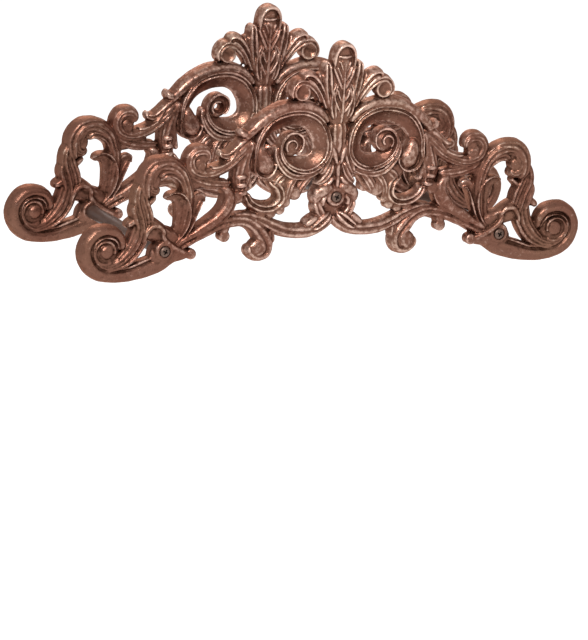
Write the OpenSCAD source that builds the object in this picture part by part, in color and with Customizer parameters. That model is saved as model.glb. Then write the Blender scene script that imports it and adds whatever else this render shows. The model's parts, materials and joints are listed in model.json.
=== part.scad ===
// Wall hose holder: two openwork scroll castings held apart by three round bars.
// Millimetres. The wall is the plane y = 0, the front faces -Y, +Z is up.
// The origin is on the wall midway between the two upper wall holes, and the centre bar lies below it.

/* [Castings] */
// Width of each casting over its two end volutes
casting_w = 500; // [450:5:560]
// Height of each casting from the end volutes to the finial
casting_h = 212; // [195:1:235]
// Thickness of each casting from its flat back to its highest relief
casting_t = 14; // [12.5:0.5:17]
// Width of a main scroll stem
stem_w = 12; // [11:0.5:14]
// Distance from the back of one casting to the back of the other
casting_pitch = 150; // [110:5:200]

/* [Hose bars] */
// Diameter of the three bars
bar_d = 12; // [10:1:16]
// Distance of each side bar from the middle
side_bar_x = 167; // [150:1:180]
// Distance of the side bars below the centre bar
side_bar_drop = 42; // [36:1:48]
// Bevel at each end of a bar
bar_bevel = 1; // [0.5:0.1:1.5]

/* [Screws] */
// Nominal diameter of the bar screws
screw_d = 5; // [4:0.5:6]
// Diameter of a screw head
head_d = 9.5; // [8.5:0.5:11]
// Height of a screw head
head_h = 3.5; // [3:0.1:4.2]
// How far a screw reaches into its bar
screw_reach = 16; // [12:1:22]
// Width of the cross recess in a head
cross_w = 1.3; // [1:0.1:1.6]
// Depth of the cross recess in a head
cross_depth = 1.9; // [1.4:0.1:2.2]

/* [Bosses] */
// Diameter of the round boss under each front screw
boss_d = 19; // [17:0.5:22]
// Height of the bosses above the flat back
boss_h = 11; // [9.5:0.5:12]
// Depth of the shallow cup that a front screw head sits in
cup_depth = 1.5; // [1:0.1:2]
// Depth of the rear counterbore that hides a rear screw head
rear_sink = 4.5; // [4.2:0.1:5.5]

/* [Wall holes] */
// Diameter of the holes for the wall screws
wall_hole_d = 5.5; // [4.5:0.5:6.5]
// Distance between the upper pair of wall holes
upper_holes = 92; // [88:1:96]
// Height of the upper wall holes above the centre bar
upper_hole_z = 48; // [46:1:50]
// Distance between the lower pair of wall holes
lower_holes = 140; // [136:1:144]
// Distance of the lower wall holes below the centre bar
lower_hole_drop = 43; // [41:1:45]
// Thickness of metal left under a wall screw head
wall_seat = 5.5; // [4.5:0.5:7]
// Diameter of the flat seat for a wall screw head
wall_seat_d = 11; // [10:0.5:12]

/* [Clearances] */
// Added to a screw's diameter for the hole that it passes through
pass_clear = 0.5; // [0.3:0.1:0.8]
// Added to a screw's diameter for the threaded hole that it fills
thread_clear = 0.1; // [0.05:0.05:0.2]
// Added around a screw head or a bar end inside its recess
head_clear = 1; // [0.6:0.1:1.4]
// Depth of a threaded hole past the end of its screw
thread_runout = 2; // [1:0.5:4]

/* [Hidden] */

copper = [0.42, 0.26, 0.19];
dark_steel = [0.30, 0.27, 0.25];
black_steel = [0.16, 0.15, 0.14];

// Places of the bars, and of the wall holes on the right half, as [x, z] from the centre bar
left_bar = [-side_bar_x, -side_bar_drop];
centre_bar = [0, 0];
right_bar = [side_bar_x, -side_bar_drop];
bar_places = [left_bar, centre_bar, right_bar];
upper_hole = [upper_holes / 2, upper_hole_z];
lower_hole = [lower_holes / 2, -lower_hole_drop];

// Sizes that follow from the ones above
bar_len = casting_pitch - boss_h;
pass_d = screw_d + pass_clear;
thread_d = screw_d + thread_clear;
head_recess_d = head_d + 2 * head_clear;
bar_recess_d = bar_d + 2 * head_clear;
thread_depth = screw_reach + thread_runout;
screw_bevel = 0.1 * screw_d;
overcut = 1;

// Half section of a screw head, as shares of its diameter and height
head_profile = [[0.5, 0], [0.5, 0.45], [0.42, 0.75], [0.28, 0.94], [0, 1]];
cross_span = 0.6;

// The scroll pattern is drawn at this size, with the side bar and the wall holes at these places
drawn_w = 500;
drawn_h = 212;
drawn_t = 18;
drawn_stem = 12;
drawn_side_bar = [167, -42];
drawn_upper_hole = [46, 48];
drawn_lower_hole = [70, -43];
fit_x = casting_w / drawn_w;
fit_z = casting_h / drawn_h;
fit_t = casting_t / drawn_t;
fit_stem = stem_w / drawn_stem;

// The pattern follows these places, and each pull fades out over its reach: [drawn, real, reach]
anchors = [[drawn_side_bar, right_bar, 60], [drawn_upper_hole, upper_hole, 40],
    [drawn_lower_hole, lower_hole, 30]];

// Stations [x, z, width, height] round a spiral, from one radius and angle to another
function spiral(c, r, a, n, w, h) = [for (i = [0:n]) let (t = i / n, rt = r[0] + (r[1] - r[0]) * t,
    at = a[0] + (a[1] - a[0]) * t) [c[0] + rt * cos(at), c[1] + rt * sin(at),
    w[0] + (w[1] - w[0]) * t, h[0] + (h[1] - h[0]) * t]];

// The end volute winds round its eye, between these radii and angles
end_eye = [223.8, -39.3];
end_radii = [23.5, 7.5];
end_angles = [-85, 255];
end_rings = 10;

// The stems of the right half, each a list of stations [x, z, width, height] along its middle
end_volute = concat([[166, -49, 15, 9], [178, -55, 17, 11], [192, -60, 17, 12], [206, -63, 16, 13]],
    spiral(end_eye, end_radii, end_angles, end_rings, [16, 7], [13, 12]));
c_scroll = [[154, -38, 7, 9], [149, -26, 9, 11], [146, -13, 10, 12], [145, 1, 11, 12], [147, 14, 12, 12],
    [152, 26, 13, 13], [161, 34, 14, 13], [172, 37, 15, 14], [183, 34, 16, 14], [188, 26, 16, 14],
    [187, 16, 14, 13], [181, 11, 10, 12], [176, 15, 6, 10]];
s_curl = [[87, 54, 8, 10], [95, 44, 11, 12], [106, 35, 12, 12], [118, 29, 12, 12], [131, 26, 11, 12],
    [142, 30, 10, 12], [146, 39, 9, 12], [141, 46, 9, 12], [133, 47, 8, 12], [128, 42, 7, 11],
    [131, 37, 5, 10]];
rim = [[12, 72, 7, 9], [20, 79, 9, 11], [31, 83, 10, 12], [46, 84, 11, 12], [60, 81, 12, 12],
    [72, 75, 12, 12], [83, 66, 12, 12], [91, 58, 9, 11]];
volute_outside = [[63, 28, 7, 11], [67, 20, 8, 12], [75, 18, 9, 13], [82, 25, 10, 13], [81, 37, 12, 14],
    [78, 50, 13, 14], [71, 63, 15, 14], [58, 71, 16, 14], [44, 73, 16, 14], [30, 70, 16, 14],
    [20, 61, 16, 14], [16, 50, 16, 15]];
volute_inside = [[17, 55, 15, 15], [16, 44, 15, 15], [20, 35, 15, 15], [28, 30, 15, 15], [38, 30, 14, 15],
    [48, 34, 12, 15], [54, 42, 10, 14], [54, 51, 9, 14], [47, 57, 8, 13], [39, 53, 6, 12]];
lower_band = [[0, -19, 8, 9], [8, -26, 11, 11], [20, -30, 13, 12], [34, -31, 13, 12], [48, -29, 13, 12],
    [61, -24, 12, 12], [74, -19, 13, 12], [89, -17, 13, 12], [104, -18, 13, 12], [118, -22, 13, 12],
    [132, -29, 12, 12], [145, -37, 12, 12], [158, -44, 12, 11]];
drop_scroll = [[74, -18, 12, 10], [65, -28, 14, 12], [60, -40, 14, 13], [65, -49, 13, 13],
    [74, -50, 12, 13], [79, -43, 10, 13], [75, -36, 7, 12]];
sheath = [[113, 14, 8, 10], [106, 6, 11, 13], [105, -4, 13, 15], [112, -13, 13, 14], [124, -20, 11, 13],
    [136, -28, 10, 12], [148, -37, 8, 11]];
ring_scroll = [[66, 17, 9, 11], [57, 9, 11, 14], [55, -1, 11, 15], [63, -7, 9, 13], [74, -7, 9, 12],
    [84, -1, 8, 12], [89, 8, 8, 12], [91, 18, 8, 12]];
half_stems = [end_volute, c_scroll, s_curl, rim, volute_outside, volute_inside, lower_band,
    drop_scroll, sheath, ring_scroll];

// The leaves of the right half, with the same kind of stations
end_inner = [[187, -12, 12, 9], [190, -25, 15, 10], [195, -36, 16, 11], [204, -47, 14, 11],
    [216, -53, 10, 11], [228, -51, 7, 10], [236, -42, 3, 8]];
side_leaf = [[193, 18, 8, 9], [194, 6, 13, 11], [192, -5, 15, 12], [189, -15, 14, 11], [186, -23, 8, 9]];
side_tip = [[189, -7, 9, 9], [198, -15, 8, 9], [205, -20, 2, 6]];
side_hook = [[190, -4, 9, 9], [181, 1, 7, 8], [176, 6, 2, 5]];
saddle_leaf = [[158, -28, 8, 9], [169, -22, 9, 10], [182, -18, 9, 10]];
c_inner = [[162, -38, 8, 9], [155, -26, 10, 11], [152, -14, 10, 12], [152, -3, 9, 12], [156, 5, 8, 11],
    [163, 7, 6, 10], [169, 3, 2, 6]];
upper_leaf = [[84, 57, 9, 11], [95, 54, 11, 11], [106, 49, 10, 10], [114, 43, 6, 8], [118, 38, 2, 5]];
rim_bud = [[88, 59, 10, 10], [94, 59, 8, 10], [97, 64, 7, 10], [94, 70, 2, 6]];
tooth = [[105, -20, 10, 9], [108, -29, 10, 9], [111, -36, 3, 6]];
collar = [[164, -46, 14, 10], [152, -47, 10, 10], [143, -45, 8, 9], [138, -41, 3, 6]];
mid_leaf = [[152, -38, 7, 9], [145, -24, 8, 12], [140, -9, 9, 13], [136, 2, 8, 13], [129, -2, 2, 7]];
bridge_leaf = [[95, 17, 12, 11], [110, 15, 11, 11], [125, 16, 10, 11], [144, 21, 9, 11]];
fan_outer = [[88, 54, 9, 11], [92, 40, 11, 12], [96, 28, 11, 12], [98, 17, 9, 11], [94, 7, 4, 8]];
fan_inner = [[86, 36, 6, 10], [89, 24, 8, 11], [92, 12, 8, 11], [91, 1, 3, 7]];
lower_leaf = [[14, 28, 10, 11], [26, 20, 14, 12], [36, 13, 14, 12], [42, 4, 11, 12], [44, -3, 3, 7]];
outer_leaf = [[30, 24, 12, 11], [44, 20, 14, 12], [55, 14, 14, 12], [60, 5, 6, 9]];
screw_lobe = [[0, 6, 8, 11], [10, 6, 13, 13], [18, 1, 12, 12], [19, -7, 8, 10]];
lobe_stem = [[19, -2, 9, 11], [15, -13, 10, 10], [8, -22, 9, 10]];
tulip = [[4, 54, 8, 13], [6, 40, 9, 14], [6, 25, 9, 13], [3, 8, 9, 12]];
tulip_leaf = [[5, 36, 8, 12], [13, 25, 10, 12], [20, 15, 9, 10], [23, 5, 3, 7]];
finial_second = [[2, 76, 6, 10], [6, 90, 9, 12], [11, 103, 11, 12], [15, 114, 9, 11], [15, 122, 3, 7]];
finial_third = [[5, 74, 7, 10], [12, 88, 10, 11], [20, 100, 12, 12], [29, 107, 11, 12], [35, 112, 3, 7]];
finial_fourth = [[8, 72, 7, 10], [17, 84, 9, 11], [26, 95, 11, 12], [37, 100, 12, 13], [46, 96, 11, 13],
    [48, 89, 7, 11]];
half_leaves = [end_inner, side_leaf, side_tip, side_hook, saddle_leaf, c_inner, upper_leaf, rim_bud,
    tooth, collar, mid_leaf, bridge_leaf, fan_outer, fan_inner, lower_leaf, outer_leaf, screw_lobe,
    lobe_stem, tulip, tulip_leaf, finial_second, finial_third, finial_fourth];

// The leaf that stands in the middle of the finial
finial_first = [[0, 68, 5, 10], [0, 84, 12, 13], [0, 100, 18, 14], [0, 115, 22, 15], [0, 127, 24, 15],
    [0, 135, 18, 13], [0, 141.2, 8, 10]];

// Rounded eyes and beads of the scrolls, [x, z, radius, height]
half_eyes = [[end_eye[0], end_eye[1], 6.5, 15], [46, 47, 10, 16], [72, 29, 9, 15], [135, 40, 6, 13],
    [182, 21, 8, 14], [70, -43, 9, 14], [41, 5, 7, 12], [98, 16, 6, 12], [43, 93, 6, 13]];
knot_eye = [0, 57, 10, 18];
eye_taper = 0.6;

// Sections across a scroll: a stem has two ridges with a hollow between them, and a leaf has one ridge
stem_section = [[-1, 0], [-0.6, 1], [0, 0.75], [0.6, 1], [1, 0]];
leaf_section = [[-1, 0], [0, 1], [1, 0]];

// How strongly an anchor pulls on a point: fully at its own place, and less with the distance from it
function pull(point, anchor) = exp(-pow(norm(point - anchor[0]) / anchor[2], 2));

// How far an anchor is moved from where the fitted pattern would put it
function moved(anchor) = anchor[1] - [anchor[0][0] * fit_x, anchor[0][1] * fit_z];

// A point of the drawn pattern, brought to the casting's own size and drawn after the anchors
function placed(point, i = 0) = i == len(anchors) ? [point[0] * fit_x, point[1] * fit_z]
    : placed(point, i + 1) + pull(point, anchors[i]) * moved(anchors[i]);

// The direction across a scroll at one station
function across(p, i) = let (d = p[min(i + 1, len(p) - 1)] - p[max(i - 1, 0)]) [-d[1], d[0]] / norm(d);

// A solid swept along a scroll; it starts a little behind the flat back
module scroll(stations, section) {
    middle = [for (s = stations) placed([s[0], s[1]])];
    m = len(section);
    rings = len(stations);
    points = [for (i = [0:rings - 1]) let (side = across(middle, i) * stations[i][2] * fit_stem / 2,
        height = stations[i][3] * fit_t + overcut) for (s = section)
        [middle[i][0] + side[0] * s[0], overcut - height * s[1], middle[i][1] + side[1] * s[0]]];
    walls = [for (i = [0:rings - 2], k = [0:m - 1]) let (a = i * m + k, b = i * m + (k + 1) % m)
        each [[a, b + m, a + m], [a, b, b + m]]];
    start = [for (k = [m - 1:-1:0]) k];
    end = [for (k = [0:m - 1]) (rings - 1) * m + k];
    polyhedron(points, concat(walls, [start, end]), convexity = 6);
}

// A round form that stands on the flat back and points to the front
module stand(place, height, d_back, d_front) {
    translate([place[0], overcut, place[1]])
        rotate([90, 0, 0])
            cylinder(h = height + overcut, d1 = d_back, d2 = d_front);
}

// The rounded eye of a scroll
module eye(e) {
    d = 2 * e[2] * fit_stem;
    stand(placed([e[0], e[1]]), e[3] * fit_t, d, eye_taper * d, $fn = 12);
}

// The openwork that both castings share, cut flat at the back
module openwork() {
    resize([casting_w, casting_t, casting_h])
        intersection() {
            union() {
                for (side = [0, 1]) mirror([side, 0, 0]) {
                    for (s = half_stems) scroll(s, stem_section);
                    for (s = half_leaves) scroll(s, leaf_section);
                    for (e = half_eyes) eye(e);
                }
                scroll(finial_first, stem_section);
                eye(knot_eye);
                for (b = bar_places) stand(b, boss_h, boss_d, boss_d, $fn = 24);
            }
            translate([-casting_w, -2 * casting_t, -casting_h])
                cube([2 * casting_w, 2 * casting_t, 2 * casting_h]);
        }
}

// Everything is drawn from the centre bar, and this brings the upper wall holes to z = 0
module hung(y = 0) {
    translate([0, y, -upper_hole_z])
        children();
}

// A hole along Y, between two heights above the flat back
module bore(place, d, from, to) {
    translate([place[0], -from, place[1]])
        rotate([90, 0, 0])
            cylinder(h = to - from, d = d, $fn = 48);
}

// A hole for a wall screw, with a flat seat for its head
module wall_hole(place) {
    bore(place, wall_hole_d, -overcut, casting_t + overcut);
    bore(place, wall_seat_d, wall_seat, casting_t + overcut);
}

module front_casting() {
    color(copper)
        hung(-casting_pitch)
            difference() {
                openwork();
                for (b = bar_places) {
                    bore(b, pass_d, -overcut, casting_t + overcut);
                    bore(b, head_recess_d, boss_h - cup_depth, casting_t + overcut);
                }
            }
}

module back_casting() {
    color(copper)
        hung()
            difference() {
                openwork();
                for (b = bar_places) {
                    bore(b, pass_d, -overcut, casting_t + overcut);
                    bore(b, head_recess_d, -overcut, rear_sink);
                    bore(b, bar_recess_d, boss_h, casting_t + overcut);
                }
                for (side = [-1, 1]) {
                    wall_hole([side * upper_hole[0], upper_hole[1]]);
                    wall_hole([side * lower_hole[0], lower_hole[1]]);
                }
            }
}

// A round bar with bevelled ends and a threaded hole in each, from one boss to the other casting
module hose_bar(place) {
    r = bar_d / 2;
    hole_r = thread_d / 2;
    color(dark_steel)
        translate([place[0], -boss_h, place[1]])
            rotate([90, 0, 0])
                rotate_extrude($fn = 48)
                    polygon([[0, thread_depth], [hole_r, thread_depth], [hole_r, 0],
                        [r - bar_bevel, 0], [r, bar_bevel], [r, bar_len - bar_bevel],
                        [r - bar_bevel, bar_len], [hole_r, bar_len],
                        [hole_r, bar_len - thread_depth], [0, bar_len - thread_depth]]);
}

// A pan head screw along Z, with the underside of its head at z = 0 and its shank below
module pan_screw(shank) {
    r = screw_d / 2;
    difference() {
        rotate_extrude($fn = 32)
            polygon(concat([[0, -shank], [r - screw_bevel, -shank], [r, screw_bevel - shank], [r, 0]],
                [for (p = head_profile) [p[0] * head_d, p[1] * head_h]]));
        for (turn = [0, 90]) rotate(turn)
            translate([-cross_span * head_d / 2, -cross_w / 2, head_h - cross_depth])
                cube([cross_span * head_d, cross_w, head_h]);
    }
}

// A front screw: its head sits in the cup of the front boss
module front_screw(place) {
    seat = boss_h - cup_depth;
    color(dark_steel)
        translate([place[0], -casting_pitch - seat, place[1]])
            rotate([90, 0, 0])
                pan_screw(seat + screw_reach);
}

// A rear screw: its head is sunk below the flat back
module rear_screw(place) {
    color(black_steel)
        translate([place[0], -rear_sink, place[1]])
            rotate([-90, 0, 0])
                pan_screw(boss_h - rear_sink + screw_reach);
}

module hose_bar_left() { hung() hose_bar(left_bar); }
module hose_bar_centre() { hung() hose_bar(centre_bar); }
module hose_bar_right() { hung() hose_bar(right_bar); }
module front_screw_left() { hung() front_screw(left_bar); }
module front_screw_centre() { hung() front_screw(centre_bar); }
module front_screw_right() { hung() front_screw(right_bar); }
module rear_screw_left() { hung() rear_screw(left_bar); }
module rear_screw_centre() { hung() rear_screw(centre_bar); }
module rear_screw_right() { hung() rear_screw(right_bar); }

front_casting();
back_casting();
hose_bar_left();
hose_bar_centre();
hose_bar_right();
front_screw_left();
front_screw_centre();
front_screw_right();
rear_screw_left();
rear_screw_centre();
rear_screw_right();
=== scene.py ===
import json
from functools import partial
from math import ceil, cos, pi, radians, sin, sqrt

import bmesh
import bpy
import numpy as np
from bpy.props import FloatProperty, FloatVectorProperty, PointerProperty
from mathutils import Matrix, Vector
from mathutils.kdtree import KDTree


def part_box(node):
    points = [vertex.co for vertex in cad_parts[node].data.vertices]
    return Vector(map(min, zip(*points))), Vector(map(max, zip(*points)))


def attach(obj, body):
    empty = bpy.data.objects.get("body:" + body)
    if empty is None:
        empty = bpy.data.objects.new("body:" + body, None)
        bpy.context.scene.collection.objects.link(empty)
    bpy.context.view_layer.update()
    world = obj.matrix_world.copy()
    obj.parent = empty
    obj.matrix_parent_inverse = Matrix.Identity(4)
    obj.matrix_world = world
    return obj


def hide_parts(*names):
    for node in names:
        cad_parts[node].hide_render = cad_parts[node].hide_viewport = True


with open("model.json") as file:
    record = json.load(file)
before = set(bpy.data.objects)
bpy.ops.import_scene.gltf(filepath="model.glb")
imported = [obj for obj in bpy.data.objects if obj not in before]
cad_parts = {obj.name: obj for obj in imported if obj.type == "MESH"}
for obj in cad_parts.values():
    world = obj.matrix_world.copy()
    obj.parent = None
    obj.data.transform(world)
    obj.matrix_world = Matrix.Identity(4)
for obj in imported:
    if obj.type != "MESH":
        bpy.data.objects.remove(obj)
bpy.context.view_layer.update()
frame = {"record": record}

bl_info = {
    "name": "Wall hose holder",
    "version": (1, 0, 0),
    "blender": (4, 5, 0),
    "location": "View3D > Sidebar > Hose holder",
    "description": "Two openwork scroll castings held apart by three bars",
    "category": "Add Mesh",
}

MM = 0.001
PLACES = ("left", "centre", "right")

# The hand-modelled pattern's slight unevenness: how far apart its swells lie and how high they are
UNEVEN_SPAN, UNEVEN_DEPTH = 16 * MM, 1.5 * MM
# A casting's mesh is thinned to this many triangles
MOST_TRIANGLES = 190000
# How far the castings stay inside the box of their solids at the sides, and at the flat back
MARGIN, BACK_TRIM = 0.1 * MM, 0.01 * MM
# How far a cutter reaches past what it opens, and the depth of the cutter behind the flat back
OVER, BACK_CUT = 2 * MM, 20 * MM
# Width of the rounded edge of a boss, and of the bevel at a bar's ends
BOSS_EDGE, BAR_BEVEL = 1.8 * MM, 1 * MM
# How much wider a bar's bore is than its screw on each side, and how much thinner the thread is
BORE_ROOM, THREAD_ROOM = 0.05 * MM, 0.02 * MM
# Where the thread starts under the head, and the length of the screw's point
THREAD_START, SCREW_POINT = 0.5 * MM, 1.2 * MM
# Faces in a turn of thread, the front screws' turn, and the cross's span to the head's diameter
THREAD_STEPS, CROSS_TURN, CROSS_SPAN = 16, radians(25), 0.64
# What is left of an arm of the cross at its floor, and how far its cutter stands out of the head
ARM_TAPER, ARM_OVER = (0.55, 1, 0.6), 0.5 * MM

# The marks for the relief's patina in the hollows and its rubbed ridges, which also carry a painted
# highlight: rounds that even a point out into its near and its wider surroundings, and how much
# standing out of each by a millimetre counts
NEAR_ROUNDS, WIDE_ROUNDS = 14, 60
NEAR_SHARE, WIDE_SHARE = 0.44, 0.05
# Points behind this plane belong to the flat back, which has one mark all over
FLAT_FROM, FLAT_MARK = -0.02 * MM, 0.42


def middle(node):
    """The middle of a node's box."""
    low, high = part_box(node)
    return (low + high) / 2


def mount(name):
    """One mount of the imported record."""
    return next(m for m in frame["record"]["mounts"] if m["name"] == name)


# Places and sizes that come from the frame, in metres
FRONT_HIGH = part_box("front_casting")[1]
BACK_LOW, BACK_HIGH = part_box("back_casting")
BAR_PLACES = [middle(f"hose_bar_{place}") for place in PLACES]
BAR_Z = BAR_PLACES[1].z
BAR_LOW, BAR_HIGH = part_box("hose_bar_centre")
HEAD_LOW, HEAD_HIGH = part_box("front_screw_centre")

# The two kinds of property in the sidebar
LengthProperty = partial(FloatProperty, unit="LENGTH", subtype="DISTANCE")
ColourProperty = partial(FloatVectorProperty, subtype="COLOR", size=3, min=0, max=1)


class HolderSizes(bpy.types.PropertyGroup):
    """Sizes of the hose holder."""
    casting_t: LengthProperty(
        name="Casting thickness", description="From the flat back to the highest relief",
        default=BACK_HIGH.y - BACK_LOW.y)
    boss_d: LengthProperty(
        name="Boss diameter", description="Diameter of the round boss under each front screw",
        default=19 * MM)
    boss_h: LengthProperty(
        name="Boss height", description="Height of the bosses above the flat back",
        default=-BAR_HIGH.y)
    bar_d: LengthProperty(
        name="Bar diameter", description="Diameter of the three hose bars",
        default=BAR_HIGH.x - BAR_LOW.x)
    head_d: LengthProperty(
        name="Screw head diameter", description="Diameter of a screw head",
        default=HEAD_HIGH.x - HEAD_LOW.x)
    head_h: LengthProperty(
        name="Screw head height", description="Height of a screw head",
        default=3.5 * MM)
    screw_d: LengthProperty(
        name="Screw diameter", description="Nominal diameter of the bar screws",
        default=5 * MM)
    cup_depth: LengthProperty(
        name="Cup depth", description="Depth of the shallow cup that a front screw head sits in",
        default=1.5 * MM)
    rear_sink: LengthProperty(
        name="Rear counterbore", description="Depth of the recess that hides a rear screw head",
        default=4.5 * MM)
    wall_hole_d: LengthProperty(
        name="Wall hole diameter", description="Diameter of the holes for the wall screws",
        default=2 * mount("wall_holes_upper")["dims"]["hole_r_mm"] * MM)
    wall_seat: LengthProperty(
        name="Wall screw seat", description="Metal left under a wall screw head",
        default=5.5 * MM)
    wall_seat_d: LengthProperty(
        name="Wall screw seat diameter", description="Diameter of the flat seat for a wall screw head",
        default=11 * MM)
    bore_depth: LengthProperty(
        name="Bore depth", description="Depth of the screw bore in each end of a bar",
        default=18 * MM)
    screw_room: LengthProperty(
        name="Screw room", description="How much wider a screw's hole in a casting is than the screw",
        default=0.5 * MM)
    seat_room: LengthProperty(
        name="Seat room", description="How much wider a recess is than the head or the bar in it",
        default=2 * MM)
    thread_pitch: LengthProperty(
        name="Thread pitch", description="Distance between two turns of the screw thread",
        default=0.8 * MM)
    thread_h: LengthProperty(
        name="Thread height", description="Height of the screw thread above its core",
        default=0.45 * MM)
    cross_w: LengthProperty(
        name="Cross width", description="Width of each arm of the cross recess",
        default=1.7 * MM)
    cross_depth: LengthProperty(
        name="Cross depth", description="Depth of the cross recess",
        default=1.9 * MM)
    grain: LengthProperty(
        name="Casting grain", description="Smallest detail that the cast relief keeps",
        default=0.6 * MM)


class HolderColours(bpy.types.PropertyGroup):
    """Colours of the finishes."""
    # Painted highlight: the ridge colour is rubbed copper made lighter to stand in for the lamps' glints
    ridge: ColourProperty(
        name="Worn ridge", description="Copper where the relief is rubbed bright",
        default=(0.66, 0.455, 0.38))
    copper: ColourProperty(
        name="Antique copper", description="The casting's main colour",
        default=(0.165, 0.077, 0.054))
    recess: ColourProperty(
        name="Dark recess", description="Brown patina in the hollows",
        default=(0.042, 0.017, 0.010))
    bar: ColourProperty(
        name="Bar coating", description="Bronze powder coat of the hose bars",
        default=(0.11, 0.065, 0.05))
    screw: ColourProperty(
        name="Front screw", description="Bronzed steel of the front screws",
        default=(0.135, 0.085, 0.066))
    rear_screw: ColourProperty(
        name="Rear screw", description="Blackened steel of the rear screws",
        default=(0.06, 0.06, 0.06))
    floor: ColourProperty(
        name="Floor", description="Pale floor of the stage",
        default=(0.86, 0.86, 0.86))


# Height of the low wall at the edges of a fluted section, as a share of the whole height, and how
# square its dome is, where 2 is half an ellipse
EDGE, SQUARENESS = 0.16, 2.6


def fluted(ridges, depth, samples):
    """A domed section with this many rounded ridges side by side, and a low wall at each edge."""
    top = []
    for i in range(samples + 1):
        u = -1 + 2 * i / samples
        dome = EDGE + (1 - EDGE) * (1 - abs(u) ** SQUARENESS) ** 0.5
        ridge = abs(sin(pi * ridges * (u + 1) / 2)) if ridges > 1 else 1
        top.append((u, dome * (1 - depth * (1 - ridge))))
    return [(-1, 0)] + top + [(1, 0)]


# Sections across a stroke as (share of the half width, share of the height), from its right edge
# to its left edge as one looks along it. A leaf has a groove along its middle, a ribbon has a high
# outer edge and a cove that slopes to the inner one, a band has a step near its inner edge, and a
# lip has its ridge there
SECTIONS = {
    "round": fluted(1, 0, 10),
    "two": fluted(2, 0.2, 16),
    "three": fluted(3, 0.15, 24),
    "four": fluted(4, 0.12, 32),
    "leaf": [(-1, 0), (-1, 0.18), (-0.92, 0.5), (-0.7, 0.78), (-0.45, 0.96), (-0.3, 0.97),
             (-0.14, 0.84), (0, 0.7), (0.14, 0.84), (0.3, 0.97), (0.45, 0.96), (0.7, 0.78),
             (0.92, 0.5), (1, 0.18), (1, 0)],
    "ribbon": [(-1, 0), (-1, 0.3), (-0.97, 0.7), (-0.9, 0.95), (-0.82, 0.98), (-0.74, 0.9), (-0.66, 0.74),
               (-0.58, 0.84), (-0.49, 0.94), (-0.4, 0.9), (-0.3, 0.78), (-0.1, 0.66), (0.2, 0.52),
               (0.5, 0.41), (0.8, 0.35), (0.93, 0.34), (1, 0.25), (1, 0)],
    "band": [(-1, 0), (-1, 0.18), (-0.93, 0.5), (-0.75, 0.77), (-0.45, 0.95), (-0.05, 1), (0.3, 0.93),
             (0.48, 0.72), (0.6, 0.72), (0.74, 0.9), (0.86, 0.88), (0.96, 0.6), (1, 0.3), (1, 0)],
    "lip": [(-1, 0), (-1, 0.2), (-0.93, 0.5), (-0.6, 0.6), (-0.1, 0.6), (0.35, 0.68), (0.55, 0.88),
            (0.72, 1), (0.88, 0.9), (0.97, 0.6), (1, 0.25), (1, 0)],
}


def between(ends, share):
    """A value part of the way from the first end to the second."""
    return ends[0] + (ends[1] - ends[0]) * share


def spiral(centre, radii, angles, count, widths, heights):
    """Stations round a spiral, from one radius and angle in degrees to another."""
    stations = []
    for i in range(count + 1):
        t = i / count
        r, a = between(radii, t), radians(between(angles, t))
        stations.append((centre[0] + r * cos(a), centre[1] + r * sin(a),
                         between(widths, t), between(heights, t)))
    return stations


# The strokes of the right half. Each has a section and stations (x, z, width, height above the flat
# back), in millimetres from the centre bar. First the end volute, from the side boss to its eye
END_SCROLL = [
    ("band", [(146, -48, 6, 8), (158, -50, 13, 10), (170, -54, 19, 12), (184, -58.3, 19, 12.5),
              (198, -62, 16.5, 13), (212, -63, 15, 14), (226, -61, 15, 15), (236.5, -54, 15, 15.5),
              (242, -43, 15, 16), (240.5, -31.5, 14, 16), (233, -24, 14, 16), (223.5, -22.3, 13, 15.5),
              (214, -25, 12.5, 15), (208.7, -32, 10.5, 14), (208, -40.5, 7, 12)]),
    ("round", spiral((225, -41), (15.5, 13), (-160, 45), 10, (3.8, 3.4), (12, 12.5))),
    ("round", spiral((224.3, -40.5), (11.5, 8.5), (-130, 200), 16, (4.2, 3.6), (13, 15))),
    ("four", [(190, -10, 14, 11), (191.5, -23, 17, 12.5), (194.5, -34, 18, 13), (201.5, -44.5, 17, 13.3),
              (211.5, -52, 13, 13.3), (223, -54.6, 9, 12.8), (232, -50.6, 5.5, 12), (237, -42, 3.5, 11)]),
    ("round", [(187.5, -36, 5, 12), (186, -27, 6, 14.3), (181, -19.8, 7, 15), (174, -19.3, 7, 15),
               (168.5, -24.5, 6, 14.5), (167.5, -33, 5, 12)]),
    ("round", [(184.5, -30, 5, 13), (189.5, -40, 5.5, 14), (197, -49, 5.5, 14), (207, -55, 5, 13.5),
               (219, -58, 4.5, 12.8), (229, -57, 3.5, 12)]),
]
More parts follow.
